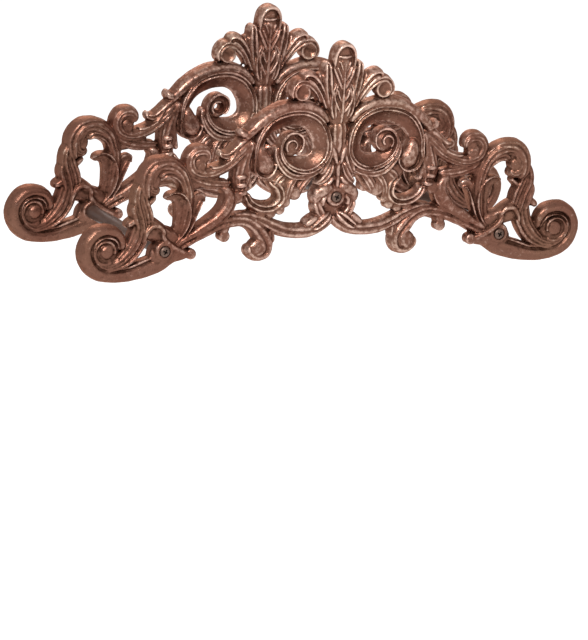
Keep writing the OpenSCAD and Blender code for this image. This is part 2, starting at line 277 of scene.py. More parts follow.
# The tall C scroll with its folded leaf, and the leaves inside it and beside it
SIDE_SCROLL = [
    ("four", [(150, -30, 9, 10), (147, -18, 11, 12), (145.5, -6, 12, 13.5), (145.5, 5, 13, 14.5),
              (148, 16, 14, 15), (153.5, 27, 15, 15.5), (162, 34, 16, 16), (173, 36, 16, 16.5),
              (182, 32.5, 16, 16.5), (186.5, 24, 15, 16.5), (184.5, 15.5, 13, 16), (178.5, 12.5, 10, 15),
              (174.5, 16.5, 6, 13)]),
    ("two", [(150.5, 13, 6, 12), (154.5, 21.5, 8, 14.5), (161.5, 27, 10, 15.5), (169, 28, 10, 15.5),
             (174.5, 24, 7, 14)]),
    ("three", [(158, 37, 7, 15), (169, 38.5, 12, 16.8), (180.5, 35, 17, 17.5), (187, 25, 19, 17.5),
               (187.5, 14, 15, 17), (184.5, 6, 8, 14.5)]),
    ("round", [(190, 20, 9, 11), (193, 12, 12, 11), (192, 4, 15, 11), (189.5, -5, 18, 11),
               (188, -14, 18, 11), (187, -24, 13, 10)]),
    ("two", [(193.5, 18, 6, 12.5), (190.5, 10, 8, 14), (187.5, 2, 9, 14.3), (184, -6, 10, 14),
             (181.5, -15, 9, 13), (182, -22, 6, 11)]),
    ("three", [(192, 22, 6, 13), (195.5, 12, 9, 14.7), (195, 2, 11, 15), (191, -9, 11, 15),
               (188, -19, 10, 14), (187, -28, 7, 12)]),
    ("round", [(198, 3, 5, 12), (198.5, -5, 7, 14), (195.5, -14, 7, 14.5), (192, -23, 6, 12.5)]),
    ("round", [(190, -10, 7, 11), (197, -13.5, 8, 13.5), (202, -17, 8, 13.5), (203, -20.5, 5, 11)]),
    ("round", [(188, -1, 7, 11), (182, 3, 6, 12.5), (176.5, 7.3, 4, 10)]),
    ("leaf", [(156, -31, 9, 9), (166, -25.5, 11, 12), (178, -17.5, 11, 12.5), (189, -16.5, 9, 11)]),
    ("lip", [(160, -36, 8, 11), (153, -27, 11, 13), (149.5, -16, 14, 15), (149.5, -5, 15, 15.5),
             (153.3, 3.7, 13, 15.5), (160, 7, 10, 14.5), (167, 5, 5.5, 12)]),
    ("round", [(168.5, -21, 5, 13), (169, -28, 6.5, 15), (164.5, -34.8, 8, 15.5), (155.5, -40.7, 8, 15),
               (147, -44.7, 8, 13.5), (141.5, -46.7, 9, 12.5)]),
    ("lip", [(153, -36, 7, 12), (146, -23, 10, 13.5), (142, -11, 12, 15), (138, -1, 12, 15.5),
             (132.5, 4.3, 9, 14), (126.8, 2, 5, 11)]),
    ("round", [(155, -38, 6, 12), (142, -30.5, 9, 14), (129, -23, 12, 16), (117, -15.3, 13.5, 17),
               (108.7, -6.5, 14.5, 17), (105.7, 2.5, 14, 16.5), (108, 9.5, 11, 15), (114, 13.5, 7, 12.5)]),
    ("round", [(137, -31.5, 4, 13), (123, -24, 4.5, 14), (110, -17, 4.5, 14), (101.5, -8, 4, 13),
               (98.5, 2, 3.5, 12)]),
]
# The curl between the side scroll and the big volute, and the fan of leaves under it
SHOULDER = [
    ("four", [(85, 55, 9, 11), (94, 45, 12, 14), (105.5, 35, 13, 14.5), (118, 28.5, 13, 14.5),
              (131, 26, 13, 15), (142, 30, 13, 15.5), (146, 39, 13, 15.5), (141, 46.3, 13, 16),
              (132.5, 46.7, 12, 15.5), (128.7, 41.5, 9, 14.5), (131, 37.5, 6, 13)]),
    ("round", spiral((134.5, 34), (5.5, 1.5), (230, 560), 12, (3, 2.8), (14.5, 16.5))),
    ("two", [(85, 57, 9, 11), (94, 51.5, 13, 13.5), (102, 45.5, 12, 14), (109, 41.5, 10, 13.5),
             (114.7, 42.5, 7, 12), (115.5, 46.5, 4, 9)]),
    ("three", [(104, 15, 9, 11), (115, 15.5, 11, 12.5), (127, 17, 12, 13), (138, 20.5, 12, 13),
               (147, 26, 8, 11)]),
    ("three", [(87, 56, 9, 12), (91, 42, 12, 14), (95, 29, 13, 14), (97, 18, 10, 13), (95, 8, 6, 11)]),
    ("two", [(86, 40, 6, 11), (88.5, 27, 9, 13), (91, 14, 9, 13), (91, 4, 7, 11), (89, -4, 5, 9)]),
    ("round", [(88, 21.5, 6, 12), (94.5, 22, 7, 15.3), (101, 20.5, 6, 12)]),
    ("round", [(87.5, 14.5, 6, 12), (94, 14.5, 7, 15.3), (100.5, 13, 6, 12)]),
    ("round", [(87, 7.5, 6, 12), (93, 7, 7, 15), (99, 5.5, 6, 12)]),
    ("round", [(99, 50, 3.5, 13), (107, 38, 4, 14.8), (117, 32.8, 4, 15.5), (126, 31.5, 3.5, 14.5)]),
]
# The rim and the volute on each side of the middle, with the bulb that it starts from
BIG_VOLUTE = [
    ("round", [(11, 67, 6, 12), (17, 75, 9, 14), (26, 81, 10, 15), (36, 83.5, 11, 15.5), (47, 84, 11, 16),
               (59, 81.5, 12, 16), (70, 76.5, 12, 16), (80, 69.5, 12, 16), (88, 62, 11, 15),
               (94, 55, 8, 13)]),
    ("round", [(89, 60, 9, 14), (95.5, 61, 9, 14.5), (98, 66, 6, 12)]),
    ("ribbon", [(63.5, 33, 5, 13), (63.4, 28.5, 5.5, 13.5), (66.5, 24, 6, 14), (72, 22.3, 7, 14.5),
                (77.8, 25, 8.5, 15), (80.5, 32, 10, 16), (79.5, 40, 11, 16.5), (78.5, 49.4, 12, 16.5),
                (74.4, 58.5, 14, 16.5), (67.3, 66.4, 16, 16.7), (56.9, 71.6, 17, 16.7),
                (45, 73.5, 17, 16.7), (34.4, 72.2, 17, 16.7), (25.1, 67.1, 17, 16.7),
                (18.9, 58.9, 17, 16.7), (16.2, 50, 16.5, 16.7), (16.4, 40.9, 16, 16.7),
                (20.6, 34.1, 16, 16.7), (27.4, 30.2, 15.5, 16.7), (34.2, 29.4, 15, 16.7),
                (43.1, 31.3, 13, 16.7), (50.7, 36.4, 11, 16.7), (54.9, 44.2, 9.5, 16.5),
                (54.2, 51.4, 8.5, 16.3), (49.4, 56.9, 7.5, 16), (43, 57.3, 6.5, 15.7),
                (38.4, 53.4, 6, 15.3), (38.4, 46.4, 5, 15), (42.6, 42, 4.5, 15)]),
    ("round", [(68, 21.5, 12, 13), (71, 29.5, 20, 16.4), (75, 40, 16, 15.2), (76.5, 50, 10, 11)]),
    ("round", spiral((47, 48.5), (6.8, 3), (-60, 250), 14, (3.6, 3.6), (15.5, 16.8))),
    ("round", [(84, 10, 6, 10), (87.5, 22, 7, 12), (89.5, 34, 7, 13), (87.5, 46, 7, 14), (85, 55, 7, 13)]),
]
# The two bands that swing along the lower edge, with the drop scroll and a tooth
LOWER_BAND = [
    ("two", [(0, -20, 8, 9), (8, -26, 11, 12), (20, -30.5, 14, 14), (34, -31.5, 14, 15),
             (48, -29.8, 14, 15), (61, -24.5, 13, 14.5), (74, -18, 12, 13.5), (88, -14.5, 9, 12),
             (99, -14, 6, 10)]),
    ("two", [(158, -43, 8, 11), (145, -36.3, 12, 13), (132, -29.3, 13, 14), (118, -23.5, 13, 14),
             (104, -19.3, 13, 14), (91, -18.5, 13, 14), (80, -23, 14, 14.5), (72, -31, 17, 15),
             (66, -40.5, 17, 16), (67, -48.6, 15, 16), (74, -50.3, 14, 16), (80.5, -46, 12, 15.5),
             (80.5, -40.5, 8, 14)]),
    ("round", [(77, -37.5, 5, 13), (71.5, -39.5, 7, 15.2), (70, -45, 8, 16), (74, -49, 7, 15.4),
               (79.5, -47.5, 5, 13)]),
    ("two", [(61, -22, 6, 12), (61, -32, 8, 13.5), (60, -41, 7, 13)]),
    ("round", [(104, -21, 10, 12), (108, -28, 11, 13), (107.5, -32, 11, 13)]),
    ("leaf", [(3, -15, 9, 13), (9, -20, 13, 16), (16, -25.5, 13, 16.5), (23, -29.5, 8, 15)]),
    ("round", [(15, -18, 7, 13), (22, -21.5, 9, 15), (29, -26, 7, 14)]),
]
# The ring, the leaves and the lobes between the big volute and the centre boss
CENTRE_LEAVES = [
    ("leaf", [(66, 17, 9, 11), (57, 10, 12, 14), (54.5, 0, 12.5, 15), (61, -7, 12, 14.5),
              (72, -8, 11.5, 14), (83, -3, 10.5, 13.5), (89, 6, 9, 12)]),
    ("two", [(17, 24, 6, 12), (27, 20, 8, 14), (38, 19, 9, 14.5), (48, 22, 9, 14.5), (56.5, 30, 8, 14.5),
             (61.3, 40, 5.5, 13.5), (61, 48, 4, 12)]),
    ("three", [(24, 22, 9, 12), (31, 15, 11, 14.5), (36.5, 7, 11, 14.5), (39, 0, 8, 12.5)]),
    ("four", [(38, 20, 11, 12), (44.5, 14, 13, 14.5), (48, 6, 13, 15), (48.3, -1, 10, 13.5),
              (47, -5, 6, 11)]),
    ("two", [(50, 22, 10, 12), (57, 17, 11, 14), (61, 11, 8, 13)]),
    ("round", [(1, 8, 9, 13), (10, 7, 13, 16), (17.5, 2, 13, 15.5), (19, -7, 8, 12)]),
    ("round", [(8, 1.5, 5, 12), (12.5, -3, 6, 14.5), (12, -9.5, 5, 13)]),
    ("two", [(19, -3, 10, 13), (15, -13, 12, 14), (9, -21, 11, 13)]),
    ("round", [(8.5, 50, 4, 12), (6.3, 44, 6, 14), (3.6, 37, 6, 15.6), (1.2, 29, 5, 15.8)]),
    ("two", [(8, 47, 7, 13), (9.5, 37, 10, 15.5), (13, 27.5, 10, 15), (17.5, 20, 7, 13)]),
    ("two", [(5, 31, 7, 14), (8.5, 22, 10, 15.5), (14, 15, 9, 14), (19.5, 11.5, 5, 11)]),
    ("round", [(3, 19, 6, 14), (8, 12.5, 6, 15), (14, 10.5, 4, 12)]),
]
# The leaves of the finial, from the middle one's edge and veins to the outer rolled one
FINIAL = [
    ("leaf", [(6, 70, 6, 14), (8.5, 79, 10, 15.8), (9.5, 88, 10, 16.2), (8.5, 97, 7, 15.8),
              (6, 104, 4, 15)]),
    ("leaf", [(9, 76, 8, 12), (12, 89, 11, 14.5), (14.5, 102, 13, 15.5), (15.8, 113, 11.5, 16),
              (16.3, 123.5, 8, 14.5)]),
    ("round", [(1, 97, 3, 14.5), (5, 105.5, 4.4, 15.6), (8.6, 113.5, 4.4, 15), (11, 120, 3, 13)]),
    ("round", [(1, 105, 3, 14.8), (4.6, 112.5, 4, 16), (7.6, 119.5, 3.6, 15)]),
    ("round", [(1, 113, 2.6, 15), (3.4, 119, 3.2, 16), (5.6, 124.5, 2.8, 15)]),
    ("round", [(1, 76, 3, 14.5), (5, 82, 3.6, 16.6), (8.5, 89.5, 3.4, 16.9), (9.5, 97, 3, 15.5)]),
    ("round", [(1, 86, 3, 14.5), (4.2, 92, 3.4, 16.2), (6, 99, 3, 15.6)]),
    ("two", [(12, 84, 6, 12), (17, 97, 8, 14), (20.7, 107, 8, 14), (22.3, 113.5, 6.5, 12.5)]),
    ("leaf", [(13, 80, 7, 12), (18, 92, 9, 13.5), (23.5, 101, 12, 15), (29.5, 107.7, 14, 16),
              (35.5, 110, 12, 15.7), (39, 106, 8, 13.5)]),
    ("two", [(19, 85, 5, 11), (23, 93.5, 7, 13), (28.5, 100, 8, 15), (35.5, 105, 8.5, 16.4),
             (42.5, 105.8, 8.5, 16.6), (47.6, 101.5, 7.5, 16.3), (49, 95.5, 7, 15.5),
             (46.8, 90.3, 6, 14.5)]),
]
RIGHT_HALF = END_SCROLL + SIDE_SCROLL + SHOULDER + BIG_VOLUTE + LOWER_BAND + CENTRE_LEAVES + FINIAL

# The strokes' heights are drawn for a casting of this thickness, and are scaled to the real one
DRAWN_T = 18

# Low webs that join the strokes of the right half, in the same form
WEBS = [
    [(140, -47, 8, 11), (153, -47, 15, 13), (168, -46, 24, 13.5), (180, -50, 20, 12.5)],
    [(150, -37, 12, 10), (160, -31, 18, 11), (174, -27, 17, 10.5), (189, -25, 14, 10)],
    [(114, 22, 10, 9), (128, 21, 18, 11), (142, 18, 18, 11), (147, 6, 9, 10)],
    [(132, 24, 12, 10), (148, 30, 16, 11), (158, 34, 9, 10)],
    [(87, 57, 11, 10), (91, 43, 19, 11), (94, 29, 20, 11), (96, 17, 16, 11), (94, 5, 12, 10)],
    [(22, 22, 14, 10), (36, 18, 18, 11), (50, 17, 20, 11), (62, 20, 17, 10), (70, 22, 14, 9)],
    [(64, -13, 11, 9), (78, -14, 10, 9), (92, -15, 9, 9)],
    [(8, 96, 22, 11), (20, 103, 11, 11), (33, 106, 10, 11), (45, 99, 10, 11)],
]

# Strokes on the middle line, from the web behind them to the hood, its rim and niche, and the knot
MIDDLE = [
    ("round", [(0, 72, 24, 11), (0, 62, 24, 11), (0, 50, 22, 10), (0, 36, 28, 11), (0, 22, 38, 11),
               (0, 8, 32, 11), (0, -8, 34, 10), (0, -18, 22, 9)]),
    ("round", [(0, 61, 28, 12), (0, 72, 30, 13), (0, 90, 33, 13), (0, 106, 34, 13), (0, 118, 28, 13),
               (0, 128, 22, 13)]),
    ("round", [(0, 102, 19, 13.4), (0, 114, 23.5, 13.6), (0, 126, 24.5, 13.2), (0, 135, 20, 12.6),
               (0, 140.5, 9, 12)]),
    ("round", [(-9.4, 116, 4, 13), (-9.9, 124, 4.4, 15), (-9, 131.2, 4.8, 16.4), (-5.4, 136.8, 5, 17.2),
               (0, 138.6, 5, 17.4), (5.4, 136.8, 5, 17.2), (9, 131.2, 4.8, 16.4), (9.9, 124, 4.4, 15),
               (9.4, 116, 4, 13)]),
    ("round", [(-8, 128.4, 4, 13.5), (0, 127.6, 5, 16), (8, 128.4, 4, 13.5)]),
    ("round", [(0, 100, 9, 13.6), (0, 112, 15, 14.8), (0, 121, 16, 15.2), (0, 129, 14, 15)]),
    ("round", [(0, 66, 5, 14), (0, 76, 6, 15.8), (0, 88, 5, 16), (0, 98, 4, 15.8), (0, 112, 3.4, 16),
               (0, 124, 3, 15.6)]),
    ("round", [(0, 34, 5, 14), (0, 26, 7, 16), (0, 15, 6.5, 16.2), (0, 7, 6, 15)]),
    ("three", [(0, 71, 15, 13), (0, 62, 18, 14.8), (0, 54, 18, 15.2), (0, 46, 17, 14.8), (0, 38, 10, 13)]),
]

# Rounded eyes and beads, the lobes round the ring, and the wide floors of the end volute and the bulb:
# x, z, radius, height
EYES = [(223.5, -40, 6.6, 16.6), (46.5, 48, 10.5, 13.3), (134, 41, 6, 14), (181, 21, 7, 15),
        (136, 35.2, 6.3, 15.2), (175.4, 28.9, 4.5, 12.5),
        (74, -44, 8.5, 15.6), (41, 4.5, 6.3, 15.3), (97.5, 3, 6, 14), (139.7, -46.7, 5, 13),
        (107.7, -32, 5.5, 13), (173.5, -29.5, 4, 8)]
RING_LOBES = [(54, 13, 4.7, 12.5), (49.5, 5, 4.7, 13.5), (49.5, -3.5, 4.7, 13.5), (54.5, -10, 4.7, 13.5),
              (63, -13, 4.7, 13), (72.5, -13, 4.7, 12.5)]
FLOORS = [(225, -41, 15, 13), (73.5, 31, 10.5, 12.5)]
# Round dishes in the rolled tips of the finial's leaves
DISHES = [(40.6, 96.8, 7.6, 14.9)]

# Millimetres that each solid starts behind the flat back, which is cut level afterwards
BEHIND = 1
# Millimetres between two stations of a stroke, and the least length of its rounded ends
STEP, LEAST_END = 1.5, 0.5
# How blunt a stroke's ends are, and the shares of its height that they keep and that they lose
BLUNT, END_HEIGHT, END_LOSS = 0.06, 0.55, 0.45
# The dome of a bead: its rise to its radius, and the most that it may be of the whole height
DOME_RISE, DOME_MOST = 0.65, 0.6
DOME_ANGLES = (20, 40, 60, 78)


def along(stations):
    """Closer stations, along a smooth curve through the given ones."""
    points = [Vector(s) for s in stations]
    points = [2 * points[0] - points[1]] + points + [2 * points[-1] - points[-2]]
    path = []
    for a, b, c, d in zip(points, points[1:], points[2:], points[3:]):
        count = max(2, ceil((c - b).xy.length / STEP))
        for i in range(count):
            t = i / count
            path.append(0.5 * (2 * b + (c - a) * t + (2 * a - 5 * b + 4 * c - d) * t ** 2
                               + (3 * b - a - 3 * c + d) * t ** 3))
    path.append(points[-2])
    return path


def sweep(stations, section):
    """A closed solid swept along a stroke, with rounded ends. Millimetres from the centre bar."""
    bm = bmesh.new()
    path = along(stations)
    travelled = [0.0]
    for a, b in zip(path, path[1:]):
        travelled.append(travelled[-1] + (b - a).xy.length)
    length = travelled[-1]
    ring, edges = [], []
    for i, station in enumerate(path):
        ahead = (path[min(i + 1, len(path) - 1)] - path[max(i - 1, 0)]).xy.normalized()
        x, z, width, height = station
        from_end = min(travelled[i], length - travelled[i])
        round_off = min(1.0, from_end / max(width / 2, LEAST_END))
        round_off = sqrt(max(BLUNT, 1 - (1 - round_off) ** 2))
        half = width / 2 * round_off
        top = height * (END_HEIGHT + END_LOSS * round_off) + BEHIND
        points = [Vector((x - ahead.y * half * u, BEHIND - top * v, z + ahead.x * half * u))
                  for u, v in section]
        if not ring:
            ring = [bm.verts.new(p) for p in points]
            edges = [bm.edges.new((a, b)) for a, b in zip(ring, ring[1:] + ring[:1])]
            bmesh.ops.contextual_create(bm, geom=edges)
            continue
        made = bmesh.ops.extrude_edge_only(bm, edges=edges)["geom"]
        new = {v for v in made if isinstance(v, bmesh.types.BMVert)}
        edges = [e for e in made if isinstance(e, bmesh.types.BMEdge) and set(e.verts) <= new]
        ring = [next(e.other_vert(v) for e in v.link_edges if e.other_vert(v) in new) for v in ring]
        for vert, point in zip(ring, points):
            vert.co = point
    bmesh.ops.contextual_create(bm, geom=edges)
    bmesh.ops.recalc_face_normals(bm, faces=bm.faces[:])
    return bm


def turned(profile, place, segments=32):
    """A solid turned about a line along Y. The profile has (radius, y) points, from axis to axis."""
    bm = bmesh.new()
    verts = [bm.verts.new((place[0] + r, y, place[1])) for r, y in profile]
    edges = [bm.edges.new(pair) for pair in zip(verts, verts[1:])]
    bmesh.ops.spin(bm, geom=verts + edges, cent=(place[0], 0, place[1]), axis=(0, 1, 0), angle=2 * pi,
                   steps=segments, use_merge=True)
    bmesh.ops.remove_doubles(bm, verts=bm.verts[:], dist=1e-5 * max(r for r, y in profile))
    bmesh.ops.recalc_face_normals(bm, faces=bm.faces[:])
    return bm


def dome(x, z, radius, height):
    """A round bead that stands on the flat back."""
    rise = min(radius * DOME_RISE, height * DOME_MOST)
    profile = [(0, BEHIND), (radius, BEHIND), (radius, rise - height)]
    for angle in DOME_ANGLES:
        profile.append((radius * cos(radians(angle)), rise - height - rise * sin(radians(angle))))
    profile.append((0, -height))
    return turned(profile, (x, z), segments=24)


def dish(x, z, radius, height):
    """A round disc that stands on the flat back, with a hollow face."""
    profile = [(0, BEHIND), (radius, BEHIND), (radius, 1 - height), (0.9 * radius, -height),
               (0.78 * radius, 0.5 - height), (0.6 * radius, 1.8 - height), (0.35 * radius, 2.9 - height),
               (0, 3.4 - height)]
    return turned(profile, (x, z), segments=28)


def add(target, part, mirrored=False):
    """Puts a solid into the target mesh, and its mirror image too where it is asked for."""
    copy = bpy.data.meshes.new("part")
    part.to_mesh(copy)
    target.from_mesh(copy)
    if mirrored:
        bmesh.ops.scale(part, vec=(-1, 1, 1), verts=part.verts)
        bmesh.ops.reverse_faces(part, faces=part.faces[:])
        part.to_mesh(copy)
        target.from_mesh(copy)
    part.free()
    bpy.data.meshes.remove(copy)


def new_object(name, data):
    """A new object in the scene."""
    thing = bpy.data.objects.new(name, data)
    bpy.context.scene.collection.objects.link(thing)
    return thing


def as_object(bm, name):
    """A new object from a bmesh."""
    mesh = bpy.data.meshes.new(name)
    bm.to_mesh(mesh)
    bm.free()
    return new_object(name, mesh)


def discard(thing):
    """Removes an object and its mesh."""
    mesh = thing.data
    bpy.data.objects.remove(thing)
    bpy.data.meshes.remove(mesh)


def settle(thing):
    """Applies an object's modifiers to its mesh."""
    graph = bpy.context.evaluated_depsgraph_get()
    mesh = bpy.data.meshes.new_from_object(thing.evaluated_get(graph))
    thing.modifiers.clear()
    old, thing.data = thing.data, mesh
    bpy.data.meshes.remove(old)
    mesh.name = thing.name


def cut(thing, cutter):
    """Takes the cutter's solid out of the object."""
    modifier = thing.modifiers.new("cut", "BOOLEAN")
    modifier.operation = "DIFFERENCE"
    modifier.solver = "MANIFOLD"
    modifier.object = cutter
    settle(thing)
    discard(cutter)


def drill(target, place, diameter, y_from, y_to):
    """Adds a round cutter along Y, in metres."""
    made = bmesh.ops.create_cone(target, cap_ends=True, segments=48, radius1=diameter / 2,
                                 radius2=diameter / 2, depth=y_to - y_from)
    bmesh.ops.rotate(target, verts=made["verts"], matrix=Matrix.Rotation(pi / 2, 3, "X"))
    bmesh.ops.translate(target, verts=made["verts"], vec=(place[0], (y_from + y_to) / 2, place[1]))


def casting_cutters(sizes, is_front):
    """What is cut off and out of a casting, in turn: its back, screw holes, seats and wall holes."""
    behind, screw_holes, seats = bmesh.new(), bmesh.new(), bmesh.new()
    made = bmesh.ops.create_cube(behind, size=1)
    bmesh.ops.scale(behind, vec=(1, BACK_CUT, 1), verts=made["verts"])
    bmesh.ops.translate(behind, vec=(0, BACK_CUT / 2 - BACK_TRIM, 0), verts=made["verts"])
    face = -sizes.casting_t - OVER
    head_recess = sizes.head_d + sizes.seat_room
    for bar in BAR_PLACES:
        place = (bar.x, bar.z)
        drill(screw_holes, place, sizes.screw_d + sizes.screw_room, face, OVER)
        if is_front:
            drill(seats, place, head_recess, face, sizes.cup_depth - sizes.boss_h)
        else:
            drill(seats, place, head_recess, -sizes.rear_sink, OVER)
            drill(seats, place, sizes.bar_d + sizes.seat_room, face, -sizes.boss_h)
    cutters = [behind, screw_holes, seats]
    if not is_front:
        for diameter, y_to in ((sizes.wall_hole_d, OVER), (sizes.wall_seat_d, -sizes.wall_seat)):
            holes = bmesh.new()
            for pattern in (mount("wall_holes_upper"), mount("wall_holes_lower")):
                for side in (-1, 1):
                    place = (side * pattern["dims"]["spacing_x_mm"] * MM / 2, pattern["pos_m"][2])
                    drill(holes, place, diameter, face, y_to)
            cutters.append(holes)
    return [as_object(cutter, "cutter") for cutter in cutters]


def fit_box(mesh, low, high):
    """Stretches a mesh in X and Z to the box of the casting that it stands for."""
    place = np.empty(len(mesh.vertices) * 3)
    mesh.vertices.foreach_get("co", place)
    place = place.reshape(-1, 3)
    for axis in (0, 2):
        own_low, own_high = place[:, axis].min(), place[:, axis].max()
        share = (place[:, axis] - own_low) / (own_high - own_low)
        place[:, axis] = low[axis] + MARGIN + share * (high[axis] - low[axis] - 2 * MARGIN)
    mesh.vertices.foreach_set("co", place.ravel())
    mesh.update()


def cast_relief(sizes):
    """The openwork that both castings share, its flat back at y = 0, as one cast surface."""
    bm = bmesh.new()
    for name, stations in RIGHT_HALF:
        add(bm, sweep(stations, SECTIONS[name]), mirrored=True)
    for stations in WEBS:
        add(bm, sweep(stations, SECTIONS["round"]), mirrored=True)
    for name, stations in MIDDLE:
        add(bm, sweep(stations, SECTIONS[name]))
    for bead in EYES + RING_LOBES + FLOORS:
        add(bm, dome(*bead), mirrored=True)
    for tip in DISHES:
        add(bm, dish(*tip), mirrored=True)
    bmesh.ops.scale(bm, vec=(MM, sizes.casting_t / DRAWN_T, MM), verts=bm.verts)
    bmesh.ops.translate(bm, vec=(0, 0, BAR_Z), verts=bm.verts)
    r, h, edge = sizes.boss_d / 2, sizes.boss_h, BOSS_EDGE
    behind = BEHIND * MM
    for place in BAR_PLACES:
        profile = [(0, behind), (r, behind), (r, 1.6 * edge - h), (r - 0.3 * edge, 0.6 * edge - h),
                   (r - edge, -h), (0, -h)]
        add(bm, turned(profile, (place.x, place.z)))
    relief = as_object(bm, "relief")
    remesh = relief.modifiers.new("cast", "REMESH")
    remesh.mode = "VOXEL"
    remesh.voxel_size = sizes.grain
    soften = relief.modifiers.new("soften", "SMOOTH")
    soften.factor = 0.5
    soften.iterations = 1
    clouds = bpy.data.textures.new("unevenness", "CLOUDS")
    clouds.noise_scale = UNEVEN_SPAN
    waver = relief.modifiers.new("waver", "DISPLACE")
    waver.texture = clouds
    waver.strength = UNEVEN_DEPTH
    settle(relief)
    bpy.data.textures.remove(clouds)
    fit_box(relief.data, BACK_LOW, BACK_HIGH)
    return relief


def trim_faces(thing, limit):
    """Thins a mesh to a number of triangles."""
    count = sum(len(p.vertices) - 2 for p in thing.data.polygons)
    if count > limit:
        thin = thing.modifiers.new("thin", "DECIMATE")
        thin.ratio = limit / count
        settle(thing)


def spread(values, pairs, rounds):
    """Values at the points of a mesh, evened out over its edges."""
    count = len(values)
    a, b = pairs.T
    share = np.maximum(np.bincount(a, minlength=count) + np.bincount(b, minlength=count), 1)
    for _ in range(rounds):
        total = np.stack([np.bincount(a, values[b, axis], count) + np.bincount(b, values[a, axis], count)
                          for axis in range(3)], axis=1)
        values = total / share[:, None]
    return values


def relief_marks(mesh):
    """How far each point stands out of its near and its wider surroundings, and a way to look it up."""
    count = len(mesh.vertices)
    place, normal = np.empty(count * 3), np.empty(count * 3)
    mesh.vertices.foreach_get("co", place)
    mesh.vertices.foreach_get("normal", normal)
    place, normal = place.reshape(-1, 3), normal.reshape(-1, 3)
    pairs = np.empty(len(mesh.edges) * 2, dtype=np.int64)
    mesh.edges.foreach_get("vertices", pairs)
    near = spread(place, pairs.reshape(-1, 2), NEAR_ROUNDS)
    wide = spread(near, pairs.reshape(-1, 2), WIDE_ROUNDS)
    out_near = ((place - near) * normal).sum(axis=1) / MM
    out_wide = ((place - wide) * normal).sum(axis=1) / MM
    tree = KDTree(count)
    for i, point in enumerate(place):
        tree.insert(point, i)
    tree.balance()
    return tree, np.clip(0.5 + NEAR_SHARE * out_near + WIDE_SHARE * out_wide, 0, 1)


def mark_relief(mesh, marks):
    """Stores the marks on a mesh, for the rubbed ridges with a painted highlight and the dark hollows."""
    tree, values = marks
    found = [FLAT_MARK if v.co.y > FLAT_FROM else values[tree.find(v.co)[1]] for v in mesh.vertices]
    attribute = mesh.attributes.new("stands_out", "FLOAT", "POINT")
    attribute.data.foreach_set("value", np.array(found, dtype=np.float32))


def finish_piece(thing, node, material, sharp):
    """Gives a piece its material, its place in the frame and smooth shading, with edges left sharp past an
    angle in degrees, and hides the node that it stands for."""
    thing.data.shade_smooth()
    thing.data.set_sharp_from_angle(angle=radians(sharp))
    thing.data.materials.clear()
    thing.data.materials.append(material)
    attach(thing, "root")
    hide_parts(node)


class Nodes:
    """The node tree of a material or a world, its owner, built a node at a time."""

    def __init__(self, name, kind=bpy.data.materials, shader="Principled BSDF"):
        self.owner = kind.new(name)
        self.owner.use_nodes = True
        self.tree = self.owner.node_tree
        self.shader = self.tree.nodes[shader]

    def fill(self, node, **inputs):
        """Gives inputs of a node plain values, by name."""
        for name, value in inputs.items():
            node.inputs[name.replace("_", " ")].default_value = value

    def node(self, kind, **inputs):
        """A new node, with plain values for some of its inputs."""
        made = self.tree.nodes.new(kind)
        self.fill(made, **inputs)
        return made

    def link(self, output, target):
        """Joins an output to an input."""
        self.tree.links.new(output, target)

    def object_place(self):
        """The point's own place, in metres."""
        return self.node("ShaderNodeTexCoord").outputs["Object"]

    def sideways(self):
        """The distance from the middle of the holder, to either side."""
        made = self.node("ShaderNodeSeparateXYZ")
        self.link(self.object_place(), made.inputs[0])
        return self.math("ABSOLUTE", made.outputs["X"])

    def stored(self, name):
        """A value that is stored at the points of the mesh."""
        made = self.node("ShaderNodeAttribute")
        made.attribute_name = name
        return made.outputs["Fac"]

    def noise(self, scale, detail, roughness=0.5):
        """Noise fixed to the piece, finer with a larger scale."""
        made = self.node("ShaderNodeTexNoise", Scale=scale, Detail=detail, Roughness=roughness)
        self.link(self.object_place(), made.inputs["Vector"])
        return made.outputs["Fac"]

    def ramp(self, source, stops):
        """Colours along a value, each stop being (value, colour)."""
        made = self.node("ShaderNodeValToRGB")
        elements = made.color_ramp.elements
        while len(elements) < len(stops):
            elements.new(0.5)
        for element, (place, colour) in zip(elements, stops):
            element.position = place
            element.color = (*colour, 1)
        self.link(source, made.inputs["Fac"])
        return made.outputs["Color"]

    def range(self, source, low, high, from_low=0.0, from_high=1.0):
        """The source's own range stretched to another."""
        made = self.node("ShaderNodeMapRange", From_Min=from_low, From_Max=from_high, To_Min=low,
                         To_Max=high)
        self.link(source, made.inputs["Value"])
        return made.outputs["Result"]

    def math(self, kind, *sources):
        """A value worked out of one or two others."""
        made = self.node("ShaderNodeMath")
        made.operation = kind
        for source, socket in zip(sources, made.inputs):
            self.link(source, socket)
        return made.outputs[0]

    def seen_directly(self):
        """One for what the camera sees, also in a mirror or through glass, and nought for other rays."""
        path = self.node("ShaderNodeLightPath")
        mirrored = self.math("ADD", path.outputs["Is Glossy Ray"], path.outputs["Is Transmission Ray"])
        return self.range(self.math("ADD", path.outputs["Is Camera Ray"], mirrored), 0, 1)

    def multiply(self, first, second):
        """Two colours multiplied. The node's sockets for colours are known by number, not by name."""
        made = self.node("ShaderNodeMix", Factor=1.0)
        made.data_type = "RGBA"
        made.blend_type = "MULTIPLY"
        self.link(first, made.inputs[6])
        self.link(second, made.inputs[7])
        return made.outputs[2]

    def bump(self, source, strength, distance):
        """Fine unevenness of the surface."""
        made = self.node("ShaderNodeBump", Strength=strength, Distance=distance)
        self.link(source, made.inputs["Height"])
        self.link(made.outputs["Normal"], self.shader.inputs["Normal"])


